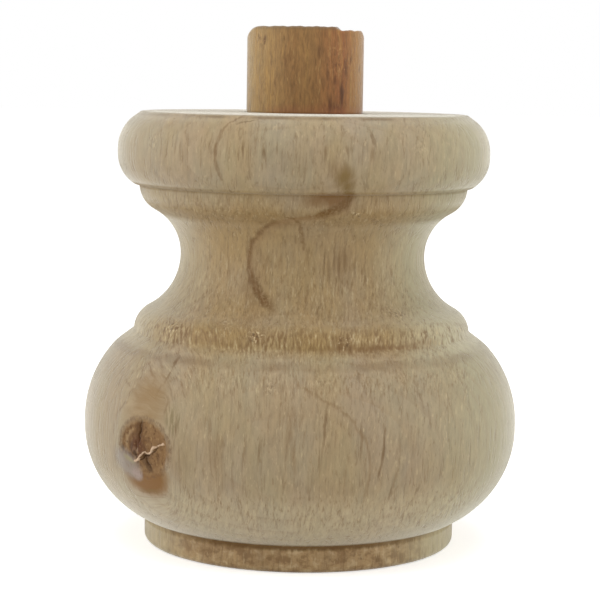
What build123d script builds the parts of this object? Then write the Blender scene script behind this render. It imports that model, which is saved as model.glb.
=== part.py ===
from build123d import *
import os
from math import radians, sin, cos, sqrt

# Turned wooden furniture foot: a squat bun foot with a round peg glued into its top.
# It stands upright on the floor, with Z up the lathe axis and the origin in the middle
# of the base. Every size is in millimetres, and heights are measured from the floor.

# Plinth, the low drum that stands on the floor
plinth_radius = 40.5
plinth_height = 7.0
base_edge_round = 1.6

# Bun, the wide squashed ball above the plinth
bun_radius = 56.2
bun_low_line = 30.7  # its widest part is upright between these two lines
bun_high_line = 32.2
bun_foot_radius = 41.0  # where the bun overhangs the plinth by a narrow lip
shoulder_radius = 48.2
shoulder_height = 51.9

# Lower collar, a round that swells out above the bun's sloping ledge
lower_collar_radius = 43.6
lower_collar_height = 55.3
lower_turn = 0.71  # share of the way from collar to neck that is hollow

# Neck, the narrowest line of the hollow between the two collars
neck_radius = 31.65
neck_height = 75.0

# Upper collar, the round under the top bead
upper_turn = 0.64
upper_collar_radius = 42.4
upper_collar_height = 92.8

# Top bead, with a shallow bevel round the flat top
bead_radius = 48.0
bead_foot_radius = 43.6  # where the bead overhangs the upper collar by a narrow lip
bead_low_line = 100.5
bead_high_line = 102.0
bevel_radius = 44.5
bevel_height = 109.7
top_radius = 42.0
body_height = 111.5

# Peg, cut from 30 mm dowel rod and glued into a bore drilled to the rod's size
peg_radius = 15.0
peg_stand_out = 22.0
peg_chamfer = 1.2
bore_depth = 28.0
glue_gap = 0.2  # the glued end is sanded this much slimmer, all round

# Mark that the lathe's tail centre leaves in the base
centre_mark_radius = 2.5
centre_mark_depth = 2.0

# Drying cracks of the knot on the bun's side. Azimuths are degrees from the front (-Y),
# negative towards -X. Lean is degrees from upright, positive when the top leans to +X.
crack_width = 0.9
crack_depth = 1.8
crack_places = {
    # name: (azimuth, height, lean, length)
    "upright": (-44.0, 34.4, 6.0, 8.0),
    "slanting": (-41.2, 29.2, 60.0, 12.5),
    "short": (-41.4, 27.6, -32.0, 6.5),
}


def bulge(widest, end):
    """Arc that is upright at its widest point and runs from there to its end point."""
    upright = (0, 1) if end[1] > widest[1] else (0, -1)
    return TangentArc(widest, end, tangent=upright)


def arc_radius(widest, end):
    """Radius of the arc that bulge draws between the same two points."""
    inward = widest[0] - end[0]
    along = end[1] - widest[1]
    return (inward**2 + along**2) / (2 * inward)


def hollow_and_round(neck, collar, turn):
    """Two arcs in an S from the neck to a collar, upright at both ends.

    The hollow turns into the round on the straight line between the two end points.
    """
    middle = tuple(n + turn * (c - n) for n, c in zip(neck, collar))
    return bulge(neck, middle) + bulge(collar, middle)


def outline():
    """Half section of the foot without its bore: (radius, height), from base to top."""
    plinth_top = (plinth_radius, plinth_height)
    bun_foot = (bun_foot_radius, plinth_height)
    bun_low = (bun_radius, bun_low_line)
    bun_high = (bun_radius, bun_high_line)
    shoulder = (shoulder_radius, shoulder_height)
    lower_collar = (lower_collar_radius, lower_collar_height)
    neck = (neck_radius, neck_height)
    upper_collar = (upper_collar_radius, upper_collar_height)
    bead_foot = (bead_foot_radius, upper_collar_height)
    bead_low = (bead_radius, bead_low_line)
    bead_high = (bead_radius, bead_high_line)
    bevel = (bevel_radius, bevel_height)

    return [
        Line((0, 0), (plinth_radius, 0)),
        Line((plinth_radius, 0), plinth_top),
        Line(plinth_top, bun_foot),
        bulge(bun_low, bun_foot),
        Line(bun_low, bun_high),
        bulge(bun_high, shoulder),
        Line(shoulder, lower_collar),
        *hollow_and_round(neck, lower_collar, lower_turn).edges(),
        *hollow_and_round(neck, upper_collar, upper_turn).edges(),
        Line(upper_collar, bead_foot),
        bulge(bead_low, bead_foot),
        Line(bead_low, bead_high),
        bulge(bead_high, bevel),
        Line(bevel, (top_radius, body_height)),
        Line((top_radius, body_height), (0, body_height)),
        Line((0, body_height), (0, 0)),
    ]


def bun_point(azimuth, height):
    """Point on the bun's skin, and the direction that looks straight out from it there."""
    line, end = (bun_low_line, (bun_foot_radius, plinth_height))
    if height > bun_low_line:
        line, end = (bun_high_line, (shoulder_radius, shoulder_height))
    beyond = 0 if bun_low_line < height < bun_high_line else height - line
    radius = arc_radius((bun_radius, line), end)
    rise = beyond / radius
    run = sqrt(1 - rise**2)
    turn = radians(azimuth)
    ahead = Vector(sin(turn), -cos(turn), 0)
    point = ahead * (bun_radius - radius + radius * run) + Vector(0, 0, height)
    return point, ahead * run + Vector(0, 0, rise)


def crack(azimuth, height, lean, length):
    """Lens-shaped blade whose rim bites into the bun, for a crack that thins to nothing.

    The blade is a disc with two bowed faces. Its rim goes crack_depth under the skin.
    """
    point, outward = bun_point(azimuth, height)
    blade_radius = (length**2 / 4 + crack_depth**2) / (2 * crack_depth)
    half = crack_width / 2
    bow = (blade_radius**2 + half**2) / crack_width
    section = make_face(
        [
            RadiusArc((0, half), (blade_radius, 0), bow),
            RadiusArc((blade_radius, 0), (0, -half), bow),
            Line((0, -half), (0, half)),
        ]
    )
    blade = revolve(section, Axis.Y)
    sideways = Vector(0, 0, 1).cross(outward).normalized()
    across = sideways.rotate(Axis((0, 0, 0), outward), -lean)
    centre = point + outward * (blade_radius - crack_depth)
    return Plane(origin=centre, x_dir=outward, z_dir=across) * Rot(X=90) * blade


def turned_foot():
    """The foot's body: one block turned on the lathe, bored for the peg, with its knot."""
    body = revolve(Plane.XZ * make_face(outline()), Axis.Z)
    body = fillet(body.edges().group_by(Axis.Z)[0], base_edge_round)
    body -= Pos(0, 0, body_height - bore_depth) * Cylinder(
        peg_radius, bore_depth, align=(Align.CENTER, Align.CENTER, Align.MIN)
    )
    body -= Cone(
        centre_mark_radius, 0, centre_mark_depth, align=(Align.CENTER, Align.CENTER, Align.MIN)
    )
    for place in crack_places.values():
        body -= crack(*place)
    return body


def top_peg():
    """The peg: a straight dowel, chamfered at both ends, that stands on the bore's floor."""
    from_floor = (Align.CENTER, Align.CENTER, Align.MIN)
    glued = Cylinder(peg_radius - glue_gap, bore_depth, align=from_floor)
    free = Pos(0, 0, bore_depth) * Cylinder(peg_radius, peg_stand_out, align=from_floor)
    glued = chamfer(glued.edges().group_by(Axis.Z)[0], peg_chamfer)
    free = chamfer(free.edges().group_by(Axis.Z)[-1], peg_chamfer)
    return Pos(0, 0, body_height - bore_depth) * (glued + free)


os.makedirs("parts", exist_ok=True)
export_step(turned_foot(), "parts/turned_foot.step")
export_step(top_peg(), "parts/top_peg.step")
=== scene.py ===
import bpy
import numpy as np
from math import cos, radians, sin
from mathutils import Matrix, Vector


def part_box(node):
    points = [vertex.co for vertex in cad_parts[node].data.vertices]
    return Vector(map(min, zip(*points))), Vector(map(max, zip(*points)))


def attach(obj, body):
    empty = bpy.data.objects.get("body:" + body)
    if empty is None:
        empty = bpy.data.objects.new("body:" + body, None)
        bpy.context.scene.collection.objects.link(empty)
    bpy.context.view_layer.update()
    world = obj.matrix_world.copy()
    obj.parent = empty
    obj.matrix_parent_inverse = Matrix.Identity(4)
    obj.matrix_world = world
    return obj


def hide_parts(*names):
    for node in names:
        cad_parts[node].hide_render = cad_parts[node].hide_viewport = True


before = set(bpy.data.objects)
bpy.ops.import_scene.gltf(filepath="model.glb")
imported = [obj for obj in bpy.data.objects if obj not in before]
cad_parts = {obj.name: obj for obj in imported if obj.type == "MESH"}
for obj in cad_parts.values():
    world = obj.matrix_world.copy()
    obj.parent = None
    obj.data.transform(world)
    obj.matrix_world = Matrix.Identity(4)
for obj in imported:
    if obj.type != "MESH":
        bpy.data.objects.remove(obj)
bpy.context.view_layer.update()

# Turned foot: the whole body, from plinth to top bead, is one block of pine turned between
# centres and sanded by hand. A blind hole is drilled down its axis for the peg.
# A dead knot with drying cracks sits on the left of the bun.
MM = 0.001  # sizes are in millimetres, and heights are measured from the floor
plinth_radius, plinth_height, base_round = 40.5, 7.0, 1.6
bun_radius, bun_low, bun_high, bun_foot_radius = 56.2, 30.7, 32.2, 41.0
shoulder_radius, shoulder_height = 48.2, 51.9
lower_collar_radius, lower_collar_height = 43.6, 55.3
neck_radius, neck_height = 31.65, 75.0
upper_collar_radius, upper_collar_height = 42.4, 92.8
lower_turn, upper_turn = 0.71, 0.64
bead_radius, bead_low, bead_high, bead_foot_radius = 48.0, 100.5, 102.0, 43.6
bevel_radius, bevel_height, top_radius = 44.5, 109.7, 42.0
body_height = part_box("turned_foot")[1].z / MM
peg_radius, bore_depth = 15.0, 28.0
mark_radius, mark_depth = 2.5, 2.0
FINE = 0.05  # between the points of an outline


def straight(start, end):
    """Points along a straight line from start to end, FINE apart, without the end point."""
    count = max(2, int(np.hypot(end[0] - start[0], end[1] - start[1]) / FINE))
    t = np.arange(count)[:, None] / count
    return np.array(start) * (1 - t) + np.array(end) * t


def bulge(widest, end, outward_bound=False):
    """Points of an arc that is upright at its widest point and runs to its end point.

    Its centre is level with the widest point, and its radius is (inward² + along²) / (2 inward).
    An outward bound arc is walked the other way, from the end point to the widest.
    """
    inward, along = widest[0] - end[0], end[1] - widest[1]
    radius = (inward**2 + along**2) / (2 * inward)
    sweep = np.arctan2(along / radius, 1 - inward / radius)
    t = np.linspace(0, sweep, max(8, int(abs(radius * sweep) / FINE)))
    if outward_bound:
        t = t[::-1]
    points = np.stack([widest[0] - radius + radius * np.cos(t), widest[1] + radius * np.sin(t)], 1)
    return points[:-1]


def between(start, end, share):
    """The point at that share of the straight way from start to end."""
    return tuple(a + share * (b - a) for a, b in zip(start, end))


neck = (neck_radius, neck_height)
lower_collar = (lower_collar_radius, lower_collar_height)
upper_collar = (upper_collar_radius, upper_collar_height)
lower_middle = between(neck, lower_collar, lower_turn)
upper_middle = between(neck, upper_collar, upper_turn)
foot_line = np.vstack([
    straight((0, mark_depth), (mark_radius, 0)),
    straight((mark_radius, 0), (plinth_radius - base_round, 0)),
    bulge((plinth_radius, base_round), (plinth_radius - base_round, 0), outward_bound=True),
    straight((plinth_radius, base_round), (plinth_radius, plinth_height)),
    straight((plinth_radius, plinth_height), (bun_foot_radius, plinth_height)),
    bulge((bun_radius, bun_low), (bun_foot_radius, plinth_height), outward_bound=True),
    straight((bun_radius, bun_low), (bun_radius, bun_high)),
    bulge((bun_radius, bun_high), (shoulder_radius, shoulder_height)),
    straight((shoulder_radius, shoulder_height), lower_collar),
    bulge(lower_collar, lower_middle),
    bulge(neck, lower_middle, outward_bound=True),
    bulge(neck, upper_middle),
    bulge(upper_collar, upper_middle, outward_bound=True),
    straight(upper_collar, (bead_foot_radius, upper_collar_height)),
    bulge((bead_radius, bead_low), (bead_foot_radius, upper_collar_height), outward_bound=True),
    straight((bead_radius, bead_low), (bead_radius, bead_high)),
    bulge((bead_radius, bead_high), (bevel_radius, bevel_height)),
    straight((bevel_radius, bevel_height), (top_radius, body_height)),
    straight((top_radius, body_height), (peg_radius, body_height)),
    straight((peg_radius, body_height), (peg_radius, body_height - bore_depth)),
    straight((peg_radius, body_height - bore_depth), (0, body_height - bore_depth)),
    [(0, body_height - bore_depth)],
])


def sanded(line, softness):
    """The line at equal steps of its length, blurred by a bell curve that many mm wide.

    The blur rounds each crisp corner as sandpaper does and leaves the long curves alone.
    """
    steps = np.r_[0, np.cumsum(np.hypot(*np.diff(line, axis=0).T))]
    at = np.arange(0, steps[-1], FINE)
    even = np.stack([np.interp(at, steps, line[:, k]) for k in (0, 1)], 1)
    reach = int(3 * softness / FINE)
    bell = np.exp(-0.5 * (np.arange(-reach, reach + 1) * FINE / softness) ** 2)
    bell /= bell.sum()
    padded = np.pad(even, ((reach, reach), (0, 0)), mode="reflect", reflect_type="odd")
    soft = np.stack([np.convolve(padded[:, k], bell, "valid") for k in (0, 1)], 1)
    soft[0], soft[-1] = line[0], line[-1]
    return at, soft


def spread(start, end, count, places):
    """Count values from start to end, closer together round each (centre, width, times) place."""
    trials = 6000
    x = np.linspace(start, end, trials + 1)
    density = 1 + sum((times - 1) * np.exp(-((x - c) / width) ** 4) for c, width, times in places)
    share = np.r_[0, np.cumsum((density[1:] + density[:-1]) / 2)]
    return np.interp(np.linspace(0, share[-1], count), share, x)


def lathe_mesh(name, radius, height, turn, press):
    """Surface of revolution: radius and height by row, turn by column, pressed in along its normal.

    x is radius · sin(turn), y is -radius · cos(turn). The first and the last row are the poles.
    press holds how far each point goes in, by row and column.
    """
    slope = np.stack([np.gradient(height), -np.gradient(radius)], 1)
    slope /= np.hypot(*slope.T)[:, None]
    r = radius[1:-1, None] - press[1:-1] * slope[1:-1, :1]
    z = height[1:-1, None] - press[1:-1] * slope[1:-1, 1:]
    ring = np.stack([r * np.sin(turn), -r * np.cos(turn), z], 2)
    rows, columns = r.shape
    poles = [[0, 0, height[0]], [0, 0, height[-1]]]
    points = np.vstack([ring.reshape(-1, 3), poles]) * MM
    here = np.arange(rows * columns).reshape(rows, columns)
    after = np.roll(here, -1, axis=1)
    sides = np.stack([here[:-1], after[:-1], after[1:], here[1:]], 2).reshape(-1, 4)
    low = np.stack([np.full(columns, rows * columns), after[0], here[0]], 1)
    high = np.stack([here[-1], after[-1], np.full(columns, rows * columns + 1)], 1)
    mesh = bpy.data.meshes.new(name)
    mesh.from_pydata(points, [], [*sides.tolist(), *low.tolist(), *high.tolist()])
    mesh.shade_smooth()
    piece = bpy.data.objects.new(name, mesh)
    bpy.context.scene.collection.objects.link(piece)
    return piece


def store(piece, name, field):
    """Keep a number or a vector for each point of a lathe mesh, its poles getting zeros."""
    flat = np.asarray(field, float)[1:-1]
    vector = flat.ndim == 3
    flat = flat.reshape(-1, 3) if vector else flat.reshape(-1, 1)
    flat = np.vstack([flat, np.zeros((2, flat.shape[1]))]).astype(np.float32)
    kind, key = ("FLOAT_VECTOR", "vector") if vector else ("FLOAT", "value")
    piece.data.attributes.new(name, kind, "POINT").data.foreach_set(key, flat.ravel())


softness, just_short = 0.3, 0.01
foot_at, foot_soft = sanded(foot_line, softness)
outer = foot_soft[:, 1] > base_round
outer &= foot_at < foot_at[np.argmax(foot_soft[:, 1] > body_height - just_short)]


def at_height(height):
    """How far along the outline the skin reaches that height, on the way from base to top."""
    return np.interp(height, foot_soft[outer, 1], foot_at[outer])


knot_azimuth, knot_height = -43.5, 31.0
knot_along = at_height(knot_height)
# Grid lines stand closer at the knot and at the corners of the outline, wider on hidden faces.
# Each place below is where it is along the outline, its half width, and how many times closer.
row_count, column_count = 246, 400
corner_heights = [plinth_height, shoulder_height, lower_collar_height, upper_collar_height, bevel_height]
corners = [(at_height(h), 1.3, 3.0) for h in corner_heights]
base_edge, top_edge = (plinth_radius, 2.5, 2.5), (foot_at[-1] - bore_depth - top_radius, 1.0, 3.0)
base_face = (0.45 * plinth_radius, 0.5 * plinth_radius, 0.2)
bore_wall = (foot_at[-1] - 18, 22, 0.15)
knot_rows, knot_columns = (knot_along, 11, 3.4), (knot_azimuth, 11.5, 5.0)
foot_rows = spread(
    0, foot_at[-1], row_count, [knot_rows, *corners, base_edge, top_edge, base_face, bore_wall])
foot_turn = np.radians(spread(-180, 180, column_count + 1, [knot_columns])[:-1])
foot_radius = np.interp(foot_rows, foot_at, foot_soft[:, 0])
foot_height = np.interp(foot_rows, foot_at, foot_soft[:, 1])

# The knot's own flat map, in millimetres from its middle: to the right, up along the skin, and
# how far the skin has curved away from the knot, which keeps the back of the foot out of it.
from_knot = foot_turn - radians(knot_azimuth)
across = foot_radius[:, None] * np.sin(from_knot)
upward = np.broadcast_to((foot_rows - knot_along)[:, None], across.shape)
away = foot_radius[:, None] * (1 - np.cos(from_knot))
knot_reach, far_off = 12, 9
near_knot = away < knot_reach

cracks = [
    # azimuth, height, lean from upright in degrees, length, depth, half width
    (-44.0, 34.4, 6, 8.0, 1.3, 0.42), (-41.2, 29.2, 60, 12.5, 1.4, 0.42), (-41.4, 27.6, -32, 6.5, 1.3, 0.42),
    (-45.3, 31.0, 14, 4.0, 0.8, 0.50), (-45.8, 28.9, 80, 3.0, 0.8, 0.45), (-50.8, 29.6, -28, 3.2, 0.6, 0.35),
    (-47.6, 28.5, -75, 3.6, 0.6, 0.32),
]
splinter_line = [
    (-2.6, -3.9), (-1.7, -3.6), (-1.0, -3.2), (-0.3, -2.3), (0.3, -1.9), (0.9, -1.3), (1.7, -1.0),
    (2.3, -1.4), (2.9, -1.3), (3.6, -0.9), (3.9, -0.1), (4.3, 0.4), (5.2, 0.5), (5.8, 0.9), (6.4, 1.2),
    (7.6, 1.6),
]
splinter_half, splinter_edge, swell_share, swell_waves = 0.30, 0.2, 0.4, 1.35
knot_sink, sink_slope, ridge_depth, ridge_waves = 0.30, 0.25, 0.10, 26
knot_middle_x, knot_middle_y, knot_half_across, knot_half_up = 0.9, -0.1, 9.1, 7.2
crack_wander, wander_waves = 0.22, 2.6


def crack_groove(azimuth, height, lean, length, depth, half):
    """How deep a crack cuts: deepest in its middle, nothing at its two tips, V across."""
    x = across - radians(azimuth - knot_azimuth) * bun_radius
    y = upward - (height - knot_height)
    along = x * sin(radians(lean)) + y * cos(radians(lean))
    aside = x * cos(radians(lean)) - y * sin(radians(lean))
    aside = aside + crack_wander * np.sin(along * wander_waves + height)
    bow = np.clip(1 - (2 * along / length) ** 2, 0, 1)
    return depth * bow * np.clip(1 - np.abs(aside) / (half * bow + 1e-6), 0, 1)


def from_line(line):
    """Distance on the knot's flat map to the nearest point of a line of straight bits."""
    best = np.full(across.shape, 99.0)
    for (x0, y0), (x1, y1) in zip(line, line[1:]):
        dx, dy = x1 - x0, y1 - y0
        t = np.clip(((across - x0) * dx + (upward - y0) * dy) / (dx**2 + dy**2), 0, 1)
        best = np.minimum(best, np.hypot(across - x0 - t * dx, upward - y0 - t * dy))
    return best


# The dry knot has sunk a little below the sound wood, in ridges like its rings. Where a sliver of
# it stands proud across the crack, nothing is pressed in.
knot_share = np.hypot((across - knot_middle_x) / knot_half_across, (upward - knot_middle_y) / knot_half_up)
sunk = np.clip((1 - knot_share) / sink_slope, 0, 1)
ridges = 0.5 + 0.5 * np.sin(knot_share * ridge_waves + 1.2 * np.sin(np.arctan2(upward, across) * 3))
cracked = np.maximum.reduce([crack_groove(*crack) for crack in cracks])
press = np.maximum(sunk * (knot_sink + ridge_depth * ridges), cracked)
splinter_swell = 1 + swell_share * np.cos((across + 1) * swell_waves)
splinter_from = from_line(splinter_line) / splinter_swell
splinter = np.clip((splinter_half - splinter_from) / splinter_edge, 0, 1)
press = np.where(near_knot, press * (1 - splinter), 0)

# A faint line that the turner's tool cut where the bun turns into its ledge, a shallow V.
ledge_line, line_depth, line_half = 52.0, 0.07, 1.0
line_from = np.abs(foot_rows - at_height(ledge_line))
press = press + (line_depth * np.clip(1 - line_from / line_half, 0, 1))[:, None]
foot = lathe_mesh("pine_foot", foot_radius, foot_height, foot_turn, press)
store(foot, "knot_map", np.stack([across, upward, away], 2))
store(foot, "crack_depth", np.where(near_knot, cracked, 0))
store(foot, "from_splinter", np.where(near_knot, splinter_from, far_off))

# Place in the wood. Its fibres stand upright and lean a little. They part round the knot like water
# round a post, and push is how far they go aside.
lean, knot_core, eddy_stretch = 0.035, 8.0, 2.4
eddy = np.maximum(across**2 + (upward / eddy_stretch) ** 2 + away**2, knot_core**2)
push = -across * knot_core**2 / eddy * np.interp(np.abs(upward), (12, 32), (1, 0))
skin_x, skin_y = foot_radius[:, None] * np.sin(foot_turn), -foot_radius[:, None] * np.cos(foot_turn)
skin_z = np.broadcast_to(foot_height[:, None], across.shape)
wood_x = skin_x + push * cos(radians(knot_azimuth)) - lean * skin_z
wood_y = skin_y + push * sin(radians(knot_azimuth))

# On a round skin, grain drawn straight through the block breaks up where the skin slants. So depth
# is drawn together: y for the front and the back, x for the two sides. Flat faces keep true places.
run, rise = np.gradient(foot_radius), np.gradient(foot_height)
flatness = np.interp(np.abs(run) / np.hypot(run, rise), (0.93, 0.99), (0, 1))[:, None]
drawn_together = 0.3
drawn = drawn_together + (1 - drawn_together) * flatness
store(foot, "front_grain", np.stack([wood_x, wood_y * drawn, skin_z], 2))
store(foot, "side_grain", np.stack([wood_x * drawn, wood_y, skin_z], 2))
turn_share = np.broadcast_to(np.abs(np.sin(foot_turn)), across.shape)
store(foot, "facing_side", np.interp(turn_share, (0.78, 0.94), (0, 1)))
store(foot, "turned_away", np.broadcast_to(np.abs(np.degrees(foot_turn)), across.shape))
# Painted light: a share that draws the right side paler and greener, strongest part way round.
painted_light_right = np.interp(np.degrees(foot_turn), (28, 58, 74, 110), (0, 1, 0.8, 0))
store(foot, "right_side", np.broadcast_to(painted_light_right, across.shape))


def beside_curve(name, places):
    """Store a flat map along a curve through (azimuth, height) places on the skin.

    Three values: how far each point lies to the right of the curve, how far along it, how far off.
    """
    steps_per_place, window = 40, 61
    places = np.array(places, float)
    step = np.arange(len(places))
    fine = np.linspace(0, len(places) - 1, steps_per_place * len(places))
    turn = np.radians(np.interp(fine, step, places[:, 0]))
    rise = at_height(np.interp(fine, step, places[:, 1]))
    round_off = np.hanning(window) / np.hanning(window).sum()
    turn, rise = (np.convolve(np.pad(v, window // 2, mode="edge"), round_off, "valid") for v in (turn, rise))
    girth = np.interp(rise, foot_at, foot_soft[:, 0])
    flat = np.stack([np.gradient(turn) * girth, np.gradient(rise)], 1)
    length = np.hypot(*flat.T)
    flat /= length[:, None]
    travelled = np.cumsum(length)
    best = np.full(across.shape, 1e6)
    beside, along = np.zeros(across.shape), np.zeros(across.shape)
    for k in range(0, len(turn), 2):
        x = foot_radius[:, None] * (foot_turn - turn[k])
        y = (foot_rows - rise[k])[:, None]
        off = x**2 + y**2
        nearer = off < best
        best = np.where(nearer, off, best)
        beside = np.where(nearer, x * flat[k, 1] - y * flat[k, 0], beside)
        along = np.where(nearer, travelled[k] + x * flat[k, 0] + y * flat[k, 1], along)
    for part, value in (("beside", beside), ("along", along), ("off", np.sqrt(best))):
        store(foot, name + "_" + part, value)


# A resin streak runs from the quirk down to the hollow, and round it like a letter C.
beside_curve("c_streak", [
    (14.6, 93.4), (14.9, 91.9), (13.5, 90.8), (11.6, 89.8), (9.8, 89.2), (6.9, 88.3), (3.9, 87.7),
    (0.0, 87.2), (-4.1, 86.8), (-8.6, 86.1), (-13.0, 85.0), (-16.7, 83.6), (-19.6, 82.0), (-22.6, 80.0),
    (-24.3, 77.6), (-24.9, 75.2), (-24.0, 73.0), (-22.3, 71.0), (-20.4, 69.1), (-18.4, 67.5), (-16.4, 66.2),
    (-14.7, 65.2), (-12.8, 64.4),
])
# Growth rings come to the surface in faint arcs on the bun, inside the C and on the bead.
beside_curve("bun_arc", [
    (1.0, 47.4), (5.5, 45.4), (10.0, 43.0), (13.6, 39.8), (16.4, 35.0), (17.6, 29.0), (16.5, 22.0)])
beside_curve("neck_arc", [
    (-4.6, 87.0), (-3.4, 86.9), (-2.3, 86.5), (-1.4, 85.5), (-0.9, 83.9), (0.0, 82.0), (0.4, 79.6)])
beside_curve("bead_arc", [
    (-20.5, 111.0), (-24.0, 109.5), (-25.3, 107.0), (-25.9, 103.0), (-25.8, 99.5), (-24.6, 96.5)])


def linear(hex_colour):
    """sRGB hex to the linear colour that a shader socket takes."""
    part = [int(hex_colour[k : k + 2], 16) / 255 for k in (1, 3, 5)]
    return (*[p / 12.92 if p <= 0.04045 else ((p + 0.055) / 1.055) ** 2.4 for p in part], 1)


def add(tree, kind, *inputs, **settings):
    """Add a node, set it up and fill its inputs in order, or by name from named.

    A node given as input links its first output, a socket links itself, None leaves the input
    alone. A setting that the node doesn't have goes to its own texture mapping.
    """
    made = tree.nodes.new("ShaderNode" + kind)
    named = settings.pop("named", {})
    for key, value in settings.items():
        setattr(made if hasattr(made, key) else made.texture_mapping, key, value)
    for key, value in [*enumerate(inputs), *named.items()]:
        if isinstance(value, bpy.types.Node):
            value = value.outputs[0]
        if isinstance(value, bpy.types.NodeSocket):
            tree.links.new(value, made.inputs[key])
        elif value is not None:
            made.inputs[key].default_value = value
    return made


def new_material(name):
    """A material of that name with an empty tree, and the tree."""
    material = bpy.data.materials.new(name)
    material.use_nodes = True
    material.node_tree.nodes.clear()
    return material, material.node_tree


def product(t, first, *others):
    """Masks or numbers multiplied together."""
    for other in others:
        first = add(t, "Math", first, other, operation="MULTIPLY")
    return first


def either(t, first, *others):
    """The highest of several masks at each place."""
    for other in others:
        first = add(t, "Math", first, other, operation="MAXIMUM")
    return first


def stain(t, colour, hex_colour, *masks):
    """Lay a colour over another one where the product of the masks is."""
    return add(t, "MixRGB", product(t, *masks), colour, linear(hex_colour))


def pushed(t, place, waves, reach):
    """The place moved aside by the colours of a noise, by up to half of reach each way."""
    back = [-r / 2 for r in reach]
    aside = add(t, "VectorMath", waves.outputs["Color"], reach, back, operation="MULTIPLY_ADD")
    return add(t, "VectorMath", aside, place, operation="ADD")


def lens(t, place, centre, turned, half_sizes):
    """1 in the middle of a lens with those half sizes, falling evenly to 0 at its edge."""
    made = add(t, "TexGradient", place, gradient_type="SPHERICAL", vector_type="TEXTURE",
        translation=centre, rotation=turned, scale=half_sizes)
    return made.outputs["Fac"]


def on_foot(azimuth, height):
    """Point on the foot's skin in mm, and the direction straight out of it."""
    here, step = at_height(height), 0.5
    r = np.interp(here, foot_at, foot_soft[:, 0])
    low, high = (np.array([np.interp(place, foot_at, foot_soft[:, k]) for k in (0, 1)])
        for place in (here - step, here + step))
    run, rise = (high - low) / np.hypot(*(high - low))
    ahead = Vector((sin(radians(azimuth)), -cos(radians(azimuth)), 0))
    return ahead * r + Vector((0, 0, height)), ahead * rise - Vector((0, 0, run))


def marks(t, place, skin, spots):
    """Mask of lens-shaped marks on a skin, 1 in their middle times their strength.

    Each spot is (azimuth, height, lean, half width, half length, strength). A lens is as deep
    as its own curve needs.
    """
    total = None
    for azimuth, height, lean, half_across, half_along, strength in spots:
        point, outward = skin(azimuth, height)
        side = Vector((cos(radians(azimuth)), sin(radians(azimuth)), 0))
        upright = outward.cross(side)
        across_lens = side * cos(radians(lean)) - upright * sin(radians(lean))
        along_lens = side * sin(radians(lean)) + upright * cos(radians(lean))
        turned = Matrix((across_lens, along_lens, outward)).transposed().to_euler()
        deep = 3 + max(half_across, half_along) ** 2 / 30
        shape = lens(t, place, point, turned, (half_across, half_along, deep))
        mask = add(t, "MapRange", shape, 0.0, 0.75, 0.0, strength)
        total = mask if total is None else either(t, total, mask)
    return total


def band(t, height, middle, half, soft):
    """Mask of a level band on the skin: 1 within half of its middle, fading over soft."""
    off = add(t, "Math", add(t, "Math", height, -middle, operation="ADD"), operation="ABSOLUTE")
    return add(t, "MapRange", off, half + soft, half)


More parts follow.
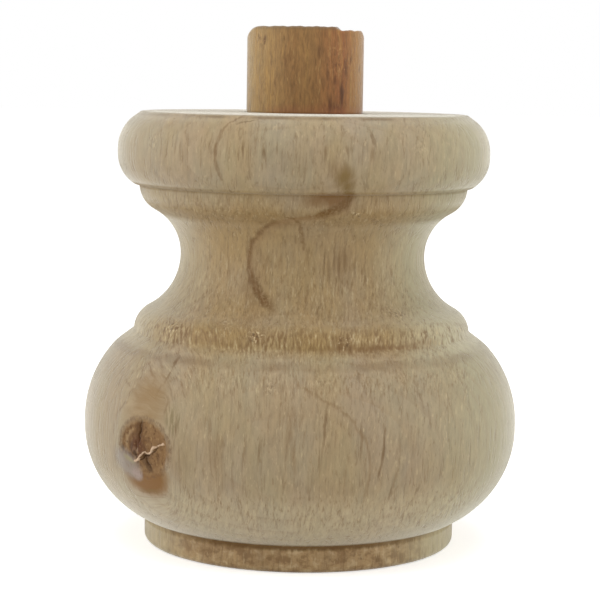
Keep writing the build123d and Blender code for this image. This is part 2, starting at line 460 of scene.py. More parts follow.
def pine():
    """Bare pine, turned and sanded: grey beige, with fine upright grain, faint rings, brown streaks.

    A noise's scale is its waves to the millimetre along x, y and z.
    """
    material, t = new_material("sanded_pine")
    mm = add(t, "Mapping", add(t, "TexCoord").outputs["Object"], None, None, (1 / MM,) * 3)
    level = add(t, "SeparateXYZ", mm).outputs["Z"]
    drift = add(t, "TexNoise", mm, None, 1.0, 2.0, scale=(0.05, 0.05, 0.014))
    sway = add(t, "VectorMath", drift.outputs["Color"], (3, 3, 0), (-1.5, -1.5, 0), operation="MULTIPLY_ADD")
    front, side = (add(t, "VectorMath", add(t, "Attribute", attribute_name=name).outputs["Vector"], sway,
        operation="ADD") for name in ("front_grain", "side_grain"))
    facing_side = add(t, "Attribute", attribute_name="facing_side").outputs["Fac"]

    def grain(stretch, detail, roughness=0.5):
        """Noise along the fibres, the same for the front and the sides but for how depth is drawn."""
        ahead, aside = (add(t, "TexNoise", place, None, 1.0, detail, roughness, scale=stretch)
            for place in (front, side))
        return add(t, "Mix", facing_side, None, ahead, aside, data_type="FLOAT")

    # Everything that is drawn at one place has an edge that frays along the grain
    fray = add(t, "TexNoise", mm, None, 1.0, 3.0, 0.6, scale=(0.9, 0.9, 0.16))
    frayed = pushed(t, mm, fray, (1.6, 1.6, 3.0))
    height = add(t, "Math", fray, 1.6, operation="MULTIPLY_ADD", named={2: level})
    height = add(t, "Math", height, -0.8, operation="ADD")

    # Broad tones: grey beige bun and bead, tan hollow, brown collar and plinth
    cloud = add(t, "TexNoise", front, None, 1.0, 3.0, 0.55, scale=(0.08, 0.16, 0.03))
    grey = add(t, "TexNoise", mm, None, 1.0, 2.0, scale=(0.12, 0.08, 0.06))
    colour = add(t, "MixRGB", add(t, "MapRange", cloud, 0.38, 0.64), linear("#918168"), linear("#937F5C"))
    colour = stain(t, colour, "#8C8566", add(t, "MapRange", grey, 0.46, 0.68, 0.0, 0.3))
    colour = stain(t, colour, "#967D60", add(t, "MapRange", grey, 0.50, 0.34, 0.0, 0.2))
    turned = add(t, "Attribute", attribute_name="turned_away").outputs["Fac"]
    paler_sides_light = add(t, "MapRange", turned, 38, 72)
    to_front = add(t, "MapRange", turned, 80, 48)
    # Painted light: the hollow's tan is kept to the front, and its sides are drawn paler.
    colour = stain(t, colour, "#91784F", band(t, height, 76, 12, 8),
        add(t, "MapRange", cloud, 0.3, 0.6, 0.45, 0.9), to_front)
    colour = stain(t, colour, "#A29476", band(t, height, 76, 12, 8), paler_sides_light, 0.7)
    # Painted shade where the hollow flares out under the upper collar and faces down.
    colour = stain(t, colour, "#846C48", band(t, level, 87.2, 1.0, 2.2),
        add(t, "MapRange", cloud, 0.2, 0.7, 0.15, 0.35))
    # Painted light: the collar's brown is kept to the front, and its sides are drawn paler.
    collar = product(t, band(t, height, 57.4, 1.5, 2.6), add(t, "MapRange", turned, 68, 46, 0.25, 1.0))
    colour = stain(t, colour, "#8A7042", collar, add(t, "MapRange", cloud, 0.3, 0.6, 0.45, 0.85))
    colour = stain(t, colour, "#A99C7E", band(t, height, 57.4, 3.0, 3.0),
        add(t, "MapRange", turned, 52, 70), 0.7)
    # Painted light: the low bun drawn paler, as if lit from the white floor below.
    colour = stain(t, colour, "#A5977A", band(t, height, 14, 4, 6), 0.55)
    colour = stain(t, colour, "#837155", band(t, height, 36, 10, 8), 0.28)
    # Painted light: the right side of the foot, its collar and its plinth drawn paler and greener.
    right_side = add(t, "Attribute", attribute_name="right_side").outputs["Fac"]
    colour = stain(t, colour, "#928E6E", right_side, 0.6)
    colour = stain(t, colour, "#B2AA8C", band(t, height, 57.4, 3.0, 3.0), right_side, 0.6)
    on_plinth = add(t, "MapRange", level, plinth_height + 0.2, plinth_height - 0.2)
    mottle = add(t, "TexNoise", mm, None, 1.0, 3.0, 0.62, scale=(0.30, 0.30, 0.42))
    colour = stain(t, colour, "#9C8058", on_plinth, 0.95)
    colour = stain(t, colour, "#6F502C", on_plinth, add(t, "MapRange", mottle, 0.50, 0.62, 0.0, 0.7))
    colour = stain(t, colour, "#B8A07A", on_plinth, add(t, "MapRange", mottle, 0.46, 0.36, 0.0, 0.7))
    # Painted light: the plinth drawn paler towards its sides.
    colour = stain(t, colour, "#AFA07E", on_plinth, add(t, "MapRange", turned, 40, 60, 0.0, 0.85))
    colour = stain(t, colour, "#B2AC8A", on_plinth, right_side, 0.45)

    # Growth rings round a pith far behind the front: pale early wood that darkens to a fine line
    pith_x, pith_y, ring_width = 3.0, 80.0, 2.93
    pith = add(t, "VectorMath", pushed(t, mm, drift, (1.6, 1.6, 0)), (1, 1, 0.02), (-pith_x, -pith_y, 0),
        operation="MULTIPLY_ADD")
    from_pith = add(t, "VectorMath", pith, operation="LENGTH").outputs["Value"]
    ring = add(t, "Math", add(t, "Math", from_pith, ring_width, operation="DIVIDE"), operation="FRACT")
    late = product(t, add(t, "MapRange", ring, 0.55, 0.94), add(t, "MapRange", ring, 1.0, 0.95))
    colour = stain(t, colour, "#7C6242", late, add(t, "MapRange", cloud, 0.35, 0.65, 0.24, 0.05))

    # Fibres, with long dark lines and short flecks where ducts are cut open. The real ones are too
    # fine to show, so they are drawn half a millimetre wide.
    fibre = grain((1.1, 1.1, 0.23), 4.0, 0.66)
    strength = add(t, "MapRange", fibre, 0.32, 0.68, 0.87, 1.13)
    colour = add(t, "HueSaturation", named={"Color": colour, "Value": strength})
    line_noise = grain((0.42, 0.42, 0.022), 3.0, 0.55)
    off_line = add(t, "Math", add(t, "Math", line_noise, -0.5, operation="ADD"), operation="ABSOLUTE")
    line = product(t, add(t, "MapRange", off_line, 0.028, 0.004),
        add(t, "MapRange", fibre, 0.42, 0.58, 1.0, 0.15))
    colour = stain(t, colour, "#6C4E26", line, 0.34)
    fleck_noise = grain((1.7, 1.7, 0.48), 2.0)
    fleck = add(t, "MapRange", fleck_noise, 0.62, 0.72)
    colour = stain(t, colour, "#6A4C24", fleck, 0.3)
    pale_fleck = add(t, "MapRange", fleck_noise, 0.38, 0.28)
    colour = stain(t, colour, "#B3A07C", pale_fleck, 0.4)

    # Short brown strokes in the collar, where the tool tore the grain, and above the bun
    comb = grain((1.7, 1.7, 0.42), 3.0, 0.6)
    torn_band = band(t, height, 57.0, 1.6, 1.6)
    colour = stain(t, colour, "#63451C", torn_band, add(t, "MapRange", comb, 0.49, 0.60, 0.0, 0.75),
        add(t, "MapRange", cloud, 0.4, 0.6, 1.0, 0.6))
    colour = stain(t, colour, "#B09B70", torn_band, add(t, "MapRange", comb, 0.45, 0.33, 0.0, 0.5))
    speckled = either(t, band(t, height, 48.6, 1.8, 2.0), band(t, height, 17.0, 3.0, 4.0))
    speckled = either(t, speckled, band(t, height, 65.0, 8.0, 6.0))
    speckled = either(t, speckled, product(t, band(t, height, 89.0, 2.6, 2.0), 0.7))
    speckled = either(t, speckled, product(t, band(t, height, 53.4, 0.8, 1.2), 0.8))
    colour = stain(t, colour, "#6C4F28", speckled, add(t, "MapRange", comb, 0.54, 0.66, 0.0, 0.5))
    colour = stain(t, colour, "#B5A582", speckled, add(t, "MapRange", comb, 0.42, 0.33, 0.0, 0.34))

    brown = marks(t, frayed, on_foot, [
        (10.4, 98.8, 30, 4.4, 3.8, 0.5), (2.6, 91.0, 0, 3.6, 2.6, 0.7), (-9.5, 85.5, -80, 3.0, 7.0, 0.42),
        (-22.5, 68.5, -28, 3.0, 5.5, 0.5), (-19.5, 65.0, -40, 3.4, 4.4, 0.45), (19.0, 75.5, 0, 4.0, 5.0, 0.4),
        (12.6, 85.0, -85, 0.9, 4.5, 0.3), (-10.0, 75.4, 5, 0.9, 2.4, 0.6), (27.0, 55.7, 0, 18.0, 1.1, 1.0),
        (13.5, 56.0, 0, 6.0, 1.6, 0.9), (42.0, 56.2, 0, 9.0, 1.4, 0.6), (-14.0, 58.4, 15, 3.0, 3.0, 0.6),
        (13.6, 57.8, 0, 3.6, 2.6, 0.6), (-32.0, 57.2, 0, 10.0, 2.0, 0.5), (-20.0, 61.5, 30, 3.0, 4.0, 0.45),
        (-29.0, 60.5, -60, 1.2, 5.0, 0.35), (-17.5, 63.5, 28, 1.4, 4.0, 0.45), (-38.0, 4.4, 0, 6.5, 2.2, 0.5),
        (-28.0, 5.8, 0, 12.0, 1.4, 0.6), (-12.0, 3.6, 0, 4.0, 2.2, 0.4), (-2.6, 37.5, 6, 1.2, 8.0, 0.5),
        (-1.4, 32.0, -5, 0.9, 5.0, 0.6), (-20.5, 32.0, 0, 3.4, 5.5, 0.35),
    ])
    colour = stain(t, colour, "#6D4F28", brown, add(t, "MapRange", fibre, 0.35, 0.6, 1.0, 0.65))
    spot = marks(t, frayed, on_foot, [(11.8, 97.0, 8, 3.0, 4.2, 1.0), (13.0, 94.9, 4, 2.6, 3.2, 1.0),
        (13.9, 93.6, 0, 2.2, 1.6, 1.0)])
    colour = stain(t, colour, "#6E5628", spot, 0.95)
    resin = marks(t, frayed, on_foot, [
        (8.6, 92.0, 0, 7.0, 2.8, 1.0), (9.8, 91.4, -72, 2.6, 6.4, 1.0), (13.0, 92.0, 0, 3.6, 2.6, 1.0),
    ])
    colour = stain(t, colour, "#6E4E26", resin, 0.95)
    lines = marks(t, frayed, on_foot, [
        (20.6, 33.5, 5, 0.55, 7.0, 0.9), (20.0, 28.5, 9, 0.5, 3.5, 0.8), (6.2, 39.0, 7, 0.5, 8.5, 0.7),
        (15.1, 35.5, 2, 0.5, 6.0, 0.55), (-9.6, 33.0, 4, 0.5, 5.0, 0.6), (23.4, 23.0, 6, 0.5, 4.0, 0.6),
        (31.0, 22.5, 10, 0.5, 3.0, 0.6), (32.8, 45.0, -4, 0.5, 4.0, 0.45), (16.0, 50.2, 0, 0.5, 2.0, 0.6),
        (-17.7, 103.6, -8, 0.5, 2.8, 0.65), (-11.4, 102.5, -8, 0.5, 2.8, 0.6),
        (6.3, 103.0, 6, 0.5, 2.8, 0.65), (12.3, 103.8, -10, 0.5, 2.6, 0.6),
        (20.2, 106.5, -12, 0.5, 4.0, 0.65), (19.8, 102.6, 8, 0.5, 2.8, 0.55),
        (-40.4, 103.8, 4, 0.5, 2.8, 0.5), (-18.2, 109.9, 70, 0.45, 3.4, 0.8),
        (-7.7, 104.0, 4, 0.45, 2.4, 0.5), (9.6, 75.8, 2, 0.45, 5.0, 0.65), (14.0, 77.4, -3, 0.45, 7.5, 0.65),
        (18.9, 76.8, -3, 0.45, 6.0, 0.55), (-0.9, 68.6, 30, 0.45, 2.6, 0.5), (6.3, 64.3, 25, 0.45, 3.0, 0.55),
        (24.0, 75.0, 0, 0.45, 6.0, 0.45), (29.0, 74.0, 0, 0.45, 5.0, 0.4), (11.8, 74.0, 0, 0.45, 6.0, 0.5),
        (16.5, 75.0, 0, 0.45, 6.0, 0.5), (-38.8, 51.6, -5, 0.8, 2.4, 1.0), (-38.7, 48.2, 6, 0.6, 2.4, 0.8),
        (-40.2, 44.7, 14, 0.6, 2.4, 0.6), (-36.0, 41.4, 5, 0.6, 2.2, 0.65), (-31.9, 36.9, -5, 0.6, 2.6, 0.75),
        (-52.1, 39.9, 48, 0.5, 3.0, 0.6), (-50.6, 42.8, -8, 0.5, 1.8, 0.5), (-53.2, 45.2, -62, 0.5, 2.6, 0.5),
        (-30.8, 30.0, -8, 0.5, 4.5, 0.35),
    ])
    colour = stain(t, colour, "#5E421C", lines, 0.85)

    # The resin streak: a soft dark core, and a brown bloom on its outer side
    beside, along, off = (add(t, "Attribute", attribute_name="c_streak_" + part).outputs["Fac"]
        for part in ("beside", "along", "off"))
    wander = add(t, "Math", fray, 2.2, -1.1, operation="MULTIPLY_ADD")
    side_way = add(t, "Math", beside, wander, operation="ADD")
    ends = product(t, add(t, "MapRange", along, -0.5, 1.0), add(t, "MapRange", along, 55.0, 49.0))
    near = product(t, add(t, "MapRange", off, 7.0, 5.0), ends)
    speck = add(t, "TexNoise", mm, None, 1.0, 3.0, 0.65, scale=(1.5, 1.5, 1.0))
    core = product(t, add(t, "MapRange", add(t, "Math", side_way, operation="ABSOLUTE"), 1.05, 0.1),
        add(t, "MapRange", speck, 0.62, 0.42, 0.45, 1.0))
    from_middle = add(t, "Math", add(t, "Math", along, -17.5, operation="ADD"), operation="ABSOLUTE")
    gap = add(t, "MapRange", from_middle, 3.6, 7.6, 0.1, 0.9)
    ragged = add(t, "MapRange", speck, 0.60, 0.46, 0.3, 1.0)
    low_end = product(t, add(t, "MapRange", along, 37.0, 45.0, 0.0, 0.95), ragged)
    high_end = product(t, add(t, "MapRange", along, 14.0, 8.0, 0.0, 0.95), ragged)
    bloom = product(t, add(t, "MapRange", side_way, -4.2, -0.2), add(t, "MapRange", side_way, 0.7, 0.0))
    colour = stain(t, colour, "#856844", near, product(t, bloom, bloom), 0.7)
    thick = product(t, add(t, "MapRange", side_way, -2.2, -0.8), add(t, "MapRange", side_way, 1.2, 0.4))
    colour = stain(t, colour, "#5E4218", near, thick, either(t, low_end, high_end))
    colour = stain(t, colour, "#64461C", near, core, gap)

    for name, dark in (("bun_arc", 0.4), ("neck_arc", 0.7), ("bead_arc", 0.6)):
        arc_beside, arc_off = (add(t, "Attribute", attribute_name=name + "_" + part).outputs["Fac"]
            for part in ("beside", "off"))
        off_arc = add(t, "Math", add(t, "Math", arc_beside, wander, operation="ADD"), operation="ABSOLUTE")
        close = product(t, add(t, "MapRange", off_arc, 0.6, 0.1), add(t, "MapRange", arc_off, 1.6, 1.0))
        colour = stain(t, colour, "#67481E", close,
            add(t, "MapRange", fleck_noise, 0.3, 0.6, dark * 0.5, dark))

    # Painted shade under the bead's lip and painted shadow under the bun's lip; dark lines at the crease and
    # the rim
    quirk = product(t, band(t, level, 92.7, 0.1, 0.6), add(t, "MapRange", cloud, 0.3, 0.65, 0.25, 0.05))
    bun_lip_shadow = product(t, band(t, height, 6.5, 0.3, 0.7), add(t, "MapRange", turned, 24, 60, 0.85, 0.1))
    crease = product(t,
        band(t, add(t, "Math", product(t, fray, 0.7), level, operation="ADD"), 52.4, 0.4, 0.9),
        add(t, "MapRange", grey, 0.62, 0.4, 0.1, 0.42))
    rim = product(t, band(t, level, 110.9, 0.1, 0.4), add(t, "MapRange", grey, 0.42, 0.56, 0.1, 0.6))
    colour = stain(t, colour, "#5E421C", either(t, quirk, bun_lip_shadow, crease, rim))

    # The knot: brown halo above and below, rings round a dark middle, and a grey patch of old resin
    knot_map = add(t, "Attribute", attribute_name="knot_map").outputs["Vector"]
    knot_place = pushed(t, knot_map, fray, (1.8, 1.8, 0))

    def oval(x, y, lean, half_across, half_up, soft, deep=12):
        """Mask of an oval on the knot's flat map."""
        shape = lens(t, knot_place, (x, y, 0), (0, 0, radians(-lean)), (half_across, half_up, deep))
        return add(t, "MapRange", shape, 0.0, soft)

    colour = stain(t, colour, "#7E6238", oval(0.6, 9.6, 8, 8.4, 12.5, 0.65),
        add(t, "MapRange", fibre, 0.34, 0.62, 1.0, 0.5))
    halo = oval(0.6, -6.4, 0, 8.8, 6.6, 0.3)
    colour = stain(t, colour, "#7E6238", halo, 0.8)
    colour = stain(t, colour, "#7F6543", oval(-1.0, -8.6, 0, 8.6, 6.2, 0.6), 0.7)
    colour = stain(t, colour, "#6E4710", oval(1.0, -7.0, 0, 8.4, 6.6, 0.4), 0.9)
    colour = stain(t, colour, "#684A10", oval(1.2, -11.4, 84, 0.9, 5.0, 0.7), 0.7)
    colour = stain(t, colour, "#7C6644", oval(13.4, -1.0, 0, 4.4, 9.0, 0.9), 0.5)
    colour = stain(t, colour, "#72623F", oval(9.8, 7.4, -24, 2.8, 4.6, 0.6),
        add(t, "MapRange", fibre, 0.42, 0.58, 0.9, 0.1))

    knot_grain = add(t, "TexNoise", mm, None, 1.0, 4.0, 0.68, scale=(1.1, 1.1, 0.9))
    inner = lens(t, knot_place, (-1.0, 0.4, 0), (0, 0, 0), (18.2, 15.6, 24))
    share = add(t, "Math", inner, -2.0, 2.0, operation="MULTIPLY_ADD")
    wavy = add(t, "Math", knot_grain, 9.0, operation="MULTIPLY_ADD", named={2: product(t, share, 26.0)})
    knot_rings = add(t, "Math", wavy, operation="SINE")
    body = oval(knot_middle_x, knot_middle_y, 0, knot_half_across + 0.1, knot_half_up + 0.1, 0.16)
    knot_colour = add(t, "MixRGB", add(t, "MapRange", share, 0.15, 0.85),
        linear("#5C3C18"), linear("#785A36"))
    knot_colour = stain(t, knot_colour, "#5A3C1E", add(t, "MapRange", knot_rings, 0.0, 1.0, 0.0, 0.5))
    knot_colour = stain(t, knot_colour, "#866C4A", oval(-5.2, 2.2, 0, 3.0, 5.0, 0.7),
        add(t, "MapRange", knot_rings, 0.3, -0.6, 0.1, 0.9))
    knot_colour = stain(t, knot_colour, "#7C5E38", oval(4.2, 4.8, 0, 4.6, 3.4, 0.6),
        add(t, "MapRange", knot_grain, 0.55, 0.40, 0.0, 0.7))
    knot_colour = stain(t, knot_colour, "#735431", oval(5.6, 0.4, 16, 4.8, 6.8, 0.6), 0.7)
    knot_colour = stain(t, knot_colour, "#4E3210", add(t, "MapRange", knot_grain, 0.52, 0.64, 0.0, 0.8))
    knot_colour = stain(t, knot_colour, "#94784F", add(t, "MapRange", knot_grain, 0.42, 0.32, 0.0, 0.6))
    knot_colour = stain(t, knot_colour, "#4C2E04", oval(-0.8, 4.0, 6, 1.6, 4.8, 0.5), 0.9)
    knot_colour = stain(t, knot_colour, "#4A2604", oval(-1.3, 0.0, 10, 3.0, 3.2, 0.55),
        add(t, "MapRange", knot_grain, 0.36, 0.46, 0.45, 0.95))
    for hex_colour, spot_place, strength in (
        ("#765A42", (-2.6, -1.0, 0, 1.2, 1.0, 0.6), 0.6), ("#3E2004", (-3.6, -0.4, 10, 0.9, 1.8, 0.6), 0.8),
        ("#3A2204", (-6.9, -1.3, -24, 0.8, 1.8, 0.7), 0.85),
        ("#3A2408", (-2.2, -2.1, -40, 0.9, 1.3, 0.6), 0.85),
        ("#8C7258", (-1.4, -1.0, 20, 0.6, 0.9, 0.6), 0.6), ("#3E2608", (-4.2, -2.5, -72, 0.7, 2.8, 0.8), 0.7),
        ("#54391A", (1.6, -2.8, -30, 1.6, 2.2, 0.6), 0.9), ("#4A3010", (2.5, -4.9, -54, 1.1, 2.8, 0.6), 0.85),
    ):
        knot_colour = stain(t, knot_colour, hex_colour, oval(*spot_place), strength)
    colour = add(t, "MixRGB", body, colour, knot_colour)
    outer_ring = lens(t, knot_place, (knot_middle_x, knot_middle_y, 0), (0, 0, 0),
        (knot_half_across + 0.9, knot_half_up + 0.9, 12))
    rim_ring = product(t, add(t, "MapRange", outer_ring, 0.0, 0.07),
        add(t, "MapRange", outer_ring, 0.20, 0.10))
    colour = stain(t, colour, "#5C4020", rim_ring, add(t, "MapRange", knot_grain, 0.40, 0.58, 0.1, 0.75))
    grey_resin = oval(-5.6, -5.0, -62, 3.9, 6.8, 0.5)
    colour = stain(t, colour, "#82766A", grey_resin, add(t, "MapRange", speck, 0.3, 0.5, 0.6, 0.95))
    colour = stain(t, colour, "#8E7C72", oval(-2.2, -7.0, -64, 2.0, 2.6, 0.6),
        add(t, "MapRange", speck, 0.35, 0.55, 0.4, 1.0))
    colour = stain(t, colour, "#8A8060", oval(-4.6, -3.6, -70, 0.8, 2.8, 0.6), 0.7)
    # Painted shade: the cracks are drawn darker the deeper they are.
    deep = add(t, "Attribute", attribute_name="crack_depth").outputs["Fac"]
    colour = stain(t, colour, "#452A0A", add(t, "MapRange", deep, 0.1, 0.9, 0.0, 0.8))
    off_splinter = add(t, "Attribute", attribute_name="from_splinter").outputs["Fac"]
    off_splinter = add(t, "Math", product(t, knot_grain, 0.7), off_splinter, operation="ADD")
    colour = stain(t, colour, "#C2A68A", add(t, "MapRange", off_splinter, 0.68, 0.46, 0.0, 0.95))

    # Torn patches: painted highlights on chips that catch the light, beside painted shade in dark pits
    torn = marks(t, frayed, on_foot, [
        (-15.0, 58.5, 20, 2.8, 3.0, 1.0), (14.3, 57.4, 0, 3.0, 2.6, 1.0), (39.0, 63.0, 30, 4.5, 3.0, 0.7),
        (-48.5, 58.6, 0, 5.0, 3.4, 0.9), (-26.5, 60.8, -50, 1.6, 3.2, 0.5), (19.5, 87.8, -60, 1.0, 3.6, 0.9),
        (27.0, 86.5, -60, 1.0, 4.6, 0.5), (-8.0, 47.4, 20, 1.5, 2.4, 0.6), (5.5, 49.0, 0, 3.0, 1.6, 0.45),
        (-51.0, 104.5, 0, 3.0, 3.0, 0.4), (36.0, 104.0, 20, 3.0, 3.6, 0.35), (56.0, 97.0, 20, 3.5, 2.0, 0.5),
    ])
    chips = add(t, "TexNoise", mm, None, 1.0, 3.0, 0.6, scale=(1.7, 1.7, 1.0))
    colour = stain(t, colour, "#4E3518", torn, add(t, "MapRange", chips, 0.54, 0.64, 0.0, 0.75))
    colour = stain(t, colour, "#C4B08A", torn, add(t, "MapRange", chips, 0.44, 0.36, 0.0, 0.8))

    relief = add(t, "Math", fibre, product(t, fleck, -0.5), operation="ADD")
    relief = add(t, "Math", relief, product(t, line, -0.6), operation="ADD")
    relief = add(t, "Math", relief, product(t, torn, chips, 3.0), operation="ADD")
    bump = add(t, "Bump", 0.4, 0.00025, named={"Height": relief})

    # Loose fibres on the sanded wood catch light at a slant. Hard wood and tool cuts have none.
    sanded_skin = add(t, "BsdfPrincipled", colour, named={"Roughness": 0.6, "IOR": 1.5, "Normal": bump,
        "Specular IOR Level": 0.35, "Sheen Weight": 1.0, "Sheen Roughness": 0.35,
        "Sheen Tint": linear("#FFFDF3")})
    hard_skin = add(t, "BsdfPrincipled", colour, named={"Roughness": 0.7, "IOR": 1.5, "Normal": bump,
        "Specular IOR Level": 0.25})
    cut = either(t, band(t, level, 92.9, 0.5, 0.4), band(t, level, 86.9, 1.2, 1.6))
    cut = either(t, cut, band(t, level, 6.6, 0.7, 0.5))
    hard = either(t, product(t, body, 0.9), product(t, cut, 0.85))
    hard = either(t, hard, product(t, halo, 0.5))
    add(t, "OutputMaterial", add(t, "MixShader", hard, sanded_skin, hard_skin))
    return material


foot.data.materials.append(pine())
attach(foot, "root")
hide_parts("turned_foot")

# Peg: a 30 mm beech dowel rod, sawn to length, its ends chamfered, glued upright into the foot.
# Beech is browner and redder than the pine, and it shows fine dark pores along the rod.
peg_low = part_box("top_peg")[0].z / MM
peg_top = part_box("top_peg")[1].z / MM
peg_chamfer, glue_gap = 1.2, 0.2
glued_radius = peg_radius - glue_gap
sawn_edge, peg_softness = 0.35, 0.15
peg_line = np.vstack([
    straight((0, peg_low), (glued_radius - peg_chamfer, peg_low)),
    straight((glued_radius - peg_chamfer, peg_low), (glued_radius, peg_low + peg_chamfer)),
    straight((glued_radius, peg_low + peg_chamfer), (glued_radius, body_height)),
    straight((glued_radius, body_height), (peg_radius, body_height)),
    straight((peg_radius, body_height), (peg_radius, peg_top - sawn_edge)),
    straight((peg_radius, peg_top - sawn_edge), (peg_radius - sawn_edge, peg_top)),
    straight((peg_radius - sawn_edge, peg_top), (0, peg_top)),
    [(0, peg_top)],
])
peg_at, peg_soft = sanded(peg_line, peg_softness)
rim_at = peg_at[-1] - peg_radius
peg_row_count, peg_column_count = 260, 360
peg_rows = spread(0, peg_at[-1], peg_row_count, [(rim_at, 4.0, 7), (rim_at - 12, 12, 1.6)])
peg_turn = np.linspace(-np.pi, np.pi, peg_column_count, endpoint=False)
peg_r = np.interp(peg_rows, peg_at, peg_soft[:, 0])
peg_z = np.interp(peg_rows, peg_at, peg_soft[:, 1])

# The saw left the top uneven: the right side broke off a little lower, and the rim is chipped.
# The left side of the rim was knocked round.
from_top = peg_top - peg_z[:, None]
across_rod = peg_r[:, None] * np.sin(peg_turn)
front_rod = -peg_r[:, None] * np.cos(peg_turn)
step_at, step_blend, step_depth, saw_depth = 7.7, 0.9, 0.78, 0.2
step_edge = step_at + 0.4 * np.sin(front_rod * 0.6)
broken = np.clip((across_rod - step_edge) / step_blend, 0, 1)
broken = broken * (step_depth + 0.10 * np.sin(across_rod * 2.1 + 0.5))
corner, corner_start = 3.6, 11.6
into_corner = np.clip(-across_rod - corner_start, 0, corner * 0.995)
worn = corner - np.sqrt(corner**2 - into_corner**2)
saw = 0.05 * np.sin(across_rod * 1.3 + 1.0) + 0.04 * np.sin(across_rod * 3.1 + front_rod * 0.7) + saw_depth
chip_at, chip_depth = 13.9, 1.2
right_corner = chip_depth * np.clip((across_rod - chip_at) / (peg_radius - chip_at), 0, 1) ** 2
lowered = np.maximum(broken, worn) + saw + right_corner
reach_down = 10.0
at_top = np.clip(1 - from_top / reach_down, 0, 1)
peg = lathe_mesh("beech_peg", peg_r, peg_z, peg_turn, np.zeros((len(peg_r), len(peg_turn))))
positions = np.empty(len(peg.data.vertices) * 3, np.float32)
peg.data.vertices.foreach_get("co", positions)
positions = positions.reshape(-1, 3)
positions[:-2, 2] -= (lowered * at_top)[1:-1].ravel() * MM
positions[-1, 2] -= lowered[-1, 0] * MM
peg.data.vertices.foreach_set("co", positions.ravel())
peg.data.update()


def on_peg(azimuth, height):
    """Point on the free length of the peg in mm, and the direction straight out of it."""
    ahead = Vector((sin(radians(azimuth)), -cos(radians(azimuth)), 0))
    return ahead * peg_radius + Vector((0, 0, height)), ahead


def beech():
    """Bare beech rod: reddish brown, straight grained, with darker streaks and fine pores.

    Real pores are too fine to show, so they are drawn a third of a millimetre wide.
    """
    material, t = new_material("beech_rod")
    mm = add(t, "Mapping", add(t, "TexCoord").outputs["Object"], None, None, (1 / MM,) * 3)
    sway = add(t, "TexNoise", mm, None, 1.0, 2.0, scale=(0.25, 0.25, 0.12))
    wood = pushed(t, mm, sway, (2, 2, 0))
    place = add(t, "SeparateXYZ", wood)
    streak = add(t, "TexNoise", wood, None, 1.0, 3.0, 0.6, scale=(0.45, 0.45, 0.03))
    fibre = add(t, "TexNoise", wood, None, 1.0, 4.0, 0.66, scale=(1.8, 1.8, 0.34))
    to_right = add(t, "MapRange", place.outputs["X"], -14.0, -4.0)
    colour = add(t, "MixRGB", to_right, linear("#9C8050"), linear("#86643A"))
    redder = add(t, "MapRange", place.outputs["X"], 2.0, 9.0, 0.0, 0.9)
    colour = stain(t, colour, "#865228", redder)
    colour = stain(t, colour, "#A07C44", add(t, "MapRange", place.outputs["X"], 9.5, 13.0, 0.0, 0.6))
    colour = stain(t, colour, "#704A22", add(t, "MapRange", streak, 0.52, 0.7, 0.0, 0.4))
    colour = stain(t, colour, "#9E7A42", add(t, "MapRange", streak, 0.46, 0.32, 0.0, 0.55))
    strength = add(t, "MapRange", fibre, 0.30, 0.70, 1.28, 0.74)
    colour = add(t, "HueSaturation", named={"Color": colour, "Value": strength})
    pore_noise = add(t, "TexNoise", wood, None, 1.0, 2.0, scale=(1.8, 1.8, 0.28))
    pore = add(t, "MapRange", pore_noise, 0.60, 0.70, 0.0, 0.35)
    colour = stain(t, colour, "#54351A", pore)
    colour = stain(t, colour, "#B4955F", add(t, "MapRange", pore_noise, 0.38, 0.28, 0.0, 0.34))
    fray = add(t, "TexNoise", mm, None, 1.0, 3.0, 0.6, scale=(1.1, 1.1, 0.3))
    frayed = pushed(t, mm, fray, (1.4, 1.4, 2.4))
    stains = marks(t, frayed, on_peg, [
        (38.0, 116.5, 0, 0.9, 6.0, 0.9), (25.0, 113.8, 0, 0.8, 3.0, 0.8), (31.0, 113.3, 0, 3.4, 1.3, 0.5),
        (-43.5, 130.0, 0, 0.7, 1.5, 0.95), (43.0, 123.0, -10, 0.7, 3.0, 0.6),
        (30.0, 120.0, 15, 0.7, 2.0, 0.6), (22.0, 122.0, 0, 0.5, 2.6, 0.5), (-20.0, 124.5, 0, 0.4, 2.0, 0.5),
        (13.0, 127.0, 0, 0.4, 2.6, 0.5), (-30.0, 119.0, 0, 0.4, 2.0, 0.45), (50.0, 125.0, 20, 0.6, 2.6, 0.55),
    ])
    colour = stain(t, colour, "#4C2A0C", stains)
    rough = marks(t, frayed, on_peg, [(36.0, 125.0, 20, 5.5, 5.0, 1.0), (-48.0, 130.0, 0, 4.0, 2.4, 0.8)])
    chips = add(t, "TexNoise", mm, None, 1.0, 3.0, 0.6, scale=(1.5, 1.5, 0.7))
    colour = stain(t, colour, "#50290E", rough, add(t, "MapRange", chips, 0.54, 0.64, 0.0, 0.6))
    colour = stain(t, colour, "#BC915A", rough, add(t, "MapRange", chips, 0.44, 0.36, 0.0, 0.6))
    level = add(t, "SeparateXYZ", frayed).outputs["Z"]
    # Painted reflected light and shade near the foot's top face: the peg drawn redder towards its foot.
    colour = stain(t, colour, "#8A5236", add(t, "MapRange", level, 114.2, 112.2, 0.0, 0.35),
        add(t, "MapRange", place.outputs["X"], -11.0, -7.0))
    # Darker along the sawn top edge of the peg.
    darker_top_edge = add(t, "MapRange", add(t, "SeparateXYZ", mm).outputs["Z"], 132.2, 133.1, 0.0, 0.6)
    colour = stain(t, colour, "#665640", darker_top_edge)
    relief = add(t, "Math", fibre, product(t, pore, -0.7), operation="ADD")
    bump = add(t, "Bump", 0.5, 0.0003, named={"Height": relief})
    skin = add(t, "BsdfPrincipled", colour, named={"Roughness": 0.6, "IOR": 1.5, "Normal": bump,
        "Specular IOR Level": 0.3, "Sheen Weight": 0.7, "Sheen Roughness": 0.35})
    add(t, "OutputMaterial", skin)
    return material


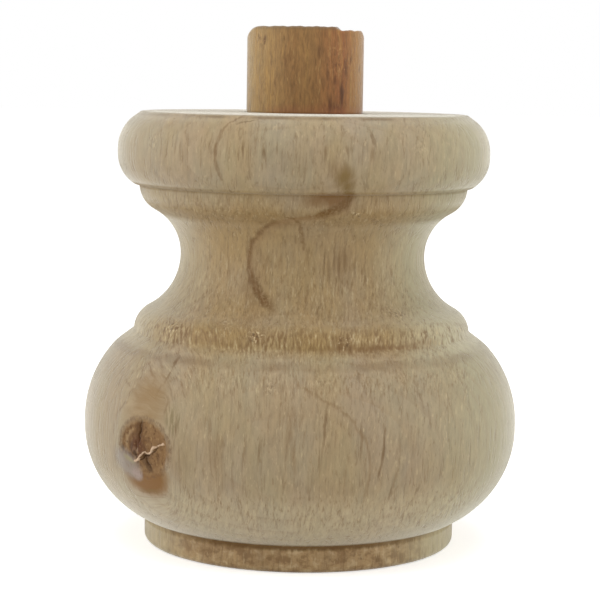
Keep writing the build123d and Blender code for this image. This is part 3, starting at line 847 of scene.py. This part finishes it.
peg.data.materials.append(beech())
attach(peg, "root")
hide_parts("top_peg")

# Floor: one sheet of white paper under the foot, far wider than the view, so that it meets a
# white sky. It glows a little for the camera alone, and keeps the foot's shadow.
floor_reach, paper_glow = 6.0, 0.5
floor_mesh = bpy.data.meshes.new("white_floor")
floor_corners = [(x * floor_reach, y * floor_reach, 0) for x, y in ((-1, -1), (1, -1), (1, 1), (-1, 1))]
floor_mesh.from_pydata(floor_corners, [], [(0, 1, 2, 3)])
floor = bpy.data.objects.new("white_floor", floor_mesh)
bpy.context.scene.collection.objects.link(floor)


def seen_straight(t):
    """1 where the camera looks, also in gloss and through glass, and 0 for light on the foot."""
    path = add(t, "LightPath")
    return either(t,
        *(path.outputs[ray] for ray in ("Is Camera Ray", "Is Glossy Ray", "Is Transmission Ray")))


floor_material, t = new_material("white_paper")
paper = add(t, "BsdfDiffuse", linear("#F2F2F0"))
glow = add(t, "Emission", linear("#FFFFFF"), paper_glow)
plain = add(t, "MixShader", seen_straight(t), named={2: glow})
add(t, "OutputMaterial", add(t, "AddShader", paper, plain))
floor.data.materials.append(floor_material)

# Sky: even white light from all round, as inside a light tent, with three soft boxes in it.
# The tent looks pure white, though its light on the foot is weaker.
tent_light, foot_middle = 0.62, 0.06
sky = bpy.data.worlds.new("light_tent")
bpy.context.scene.world = sky
sky.use_nodes = True
t = sky.node_tree
t.nodes.clear()
level = add(t, "MapRange", seen_straight(t), 0.0, 1.0, tent_light, 1.0)
add(t, "OutputWorld", add(t, "Background", linear("#FFFFFF"), level))


def soft_lamp(name, place, size, power):
    """A square soft box at that place, in metres, that faces the middle of the foot."""
    lamp = bpy.data.lights.new(name, "AREA")
    lamp.size, lamp.energy = size, power
    holder = bpy.data.objects.new(name, lamp)
    holder.location = place
    aim = Vector((0, 0, foot_middle)) - Vector(place)
    holder.rotation_euler = aim.to_track_quat("-Z", "Y").to_euler()
    bpy.context.scene.collection.objects.link(holder)


soft_lamp("left_box", (-1.1, -0.3, 0.5), 0.9, 7)
soft_lamp("right_box", (1.1, -0.3, 0.5), 0.9, 6)
soft_lamp("top_box", (0, -0.3, 1.3), 1.0, 7)

# Camera: as the photo was taken, half a metre away, level with the peg, and tilted down. Its
# angles are in degrees, and its lens is given in pixels of a picture 600 pixels wide.
camera_aside, camera_back, camera_height = -0.2, 515.523, 120.95
camera_pitch, camera_roll, camera_yaw = 6.434, 0.867, -0.028
focal_pixels, frame_pixels = 1988.0, 600
camera_data = bpy.data.cameras.new("camera")
camera_data.sensor_fit, camera_data.sensor_width = "HORIZONTAL", 36
camera_data.lens = focal_pixels / frame_pixels * camera_data.sensor_width
camera_data.clip_start, camera_data.clip_end = 0.05, 50
camera = bpy.data.objects.new("camera", camera_data)
pitch, roll, yaw = (radians(a) for a in (camera_pitch, camera_roll, camera_yaw))
ahead = Vector((sin(yaw) * cos(pitch), cos(yaw) * cos(pitch), -sin(pitch)))
right = Vector((cos(yaw), -sin(yaw), 0))
up = right.cross(ahead)
right_rolled = right * cos(roll) + up * sin(roll)
up_rolled = up * cos(roll) - right * sin(roll)
camera.matrix_world = Matrix.Translation((camera_aside * MM, -camera_back * MM, camera_height * MM)) @ Matrix(
    (right_rolled, up_rolled, -ahead)).transposed().to_4x4()
bpy.context.scene.collection.objects.link(camera)
bpy.context.scene.camera = camera
bpy.context.scene.view_settings.view_transform = "Standard"
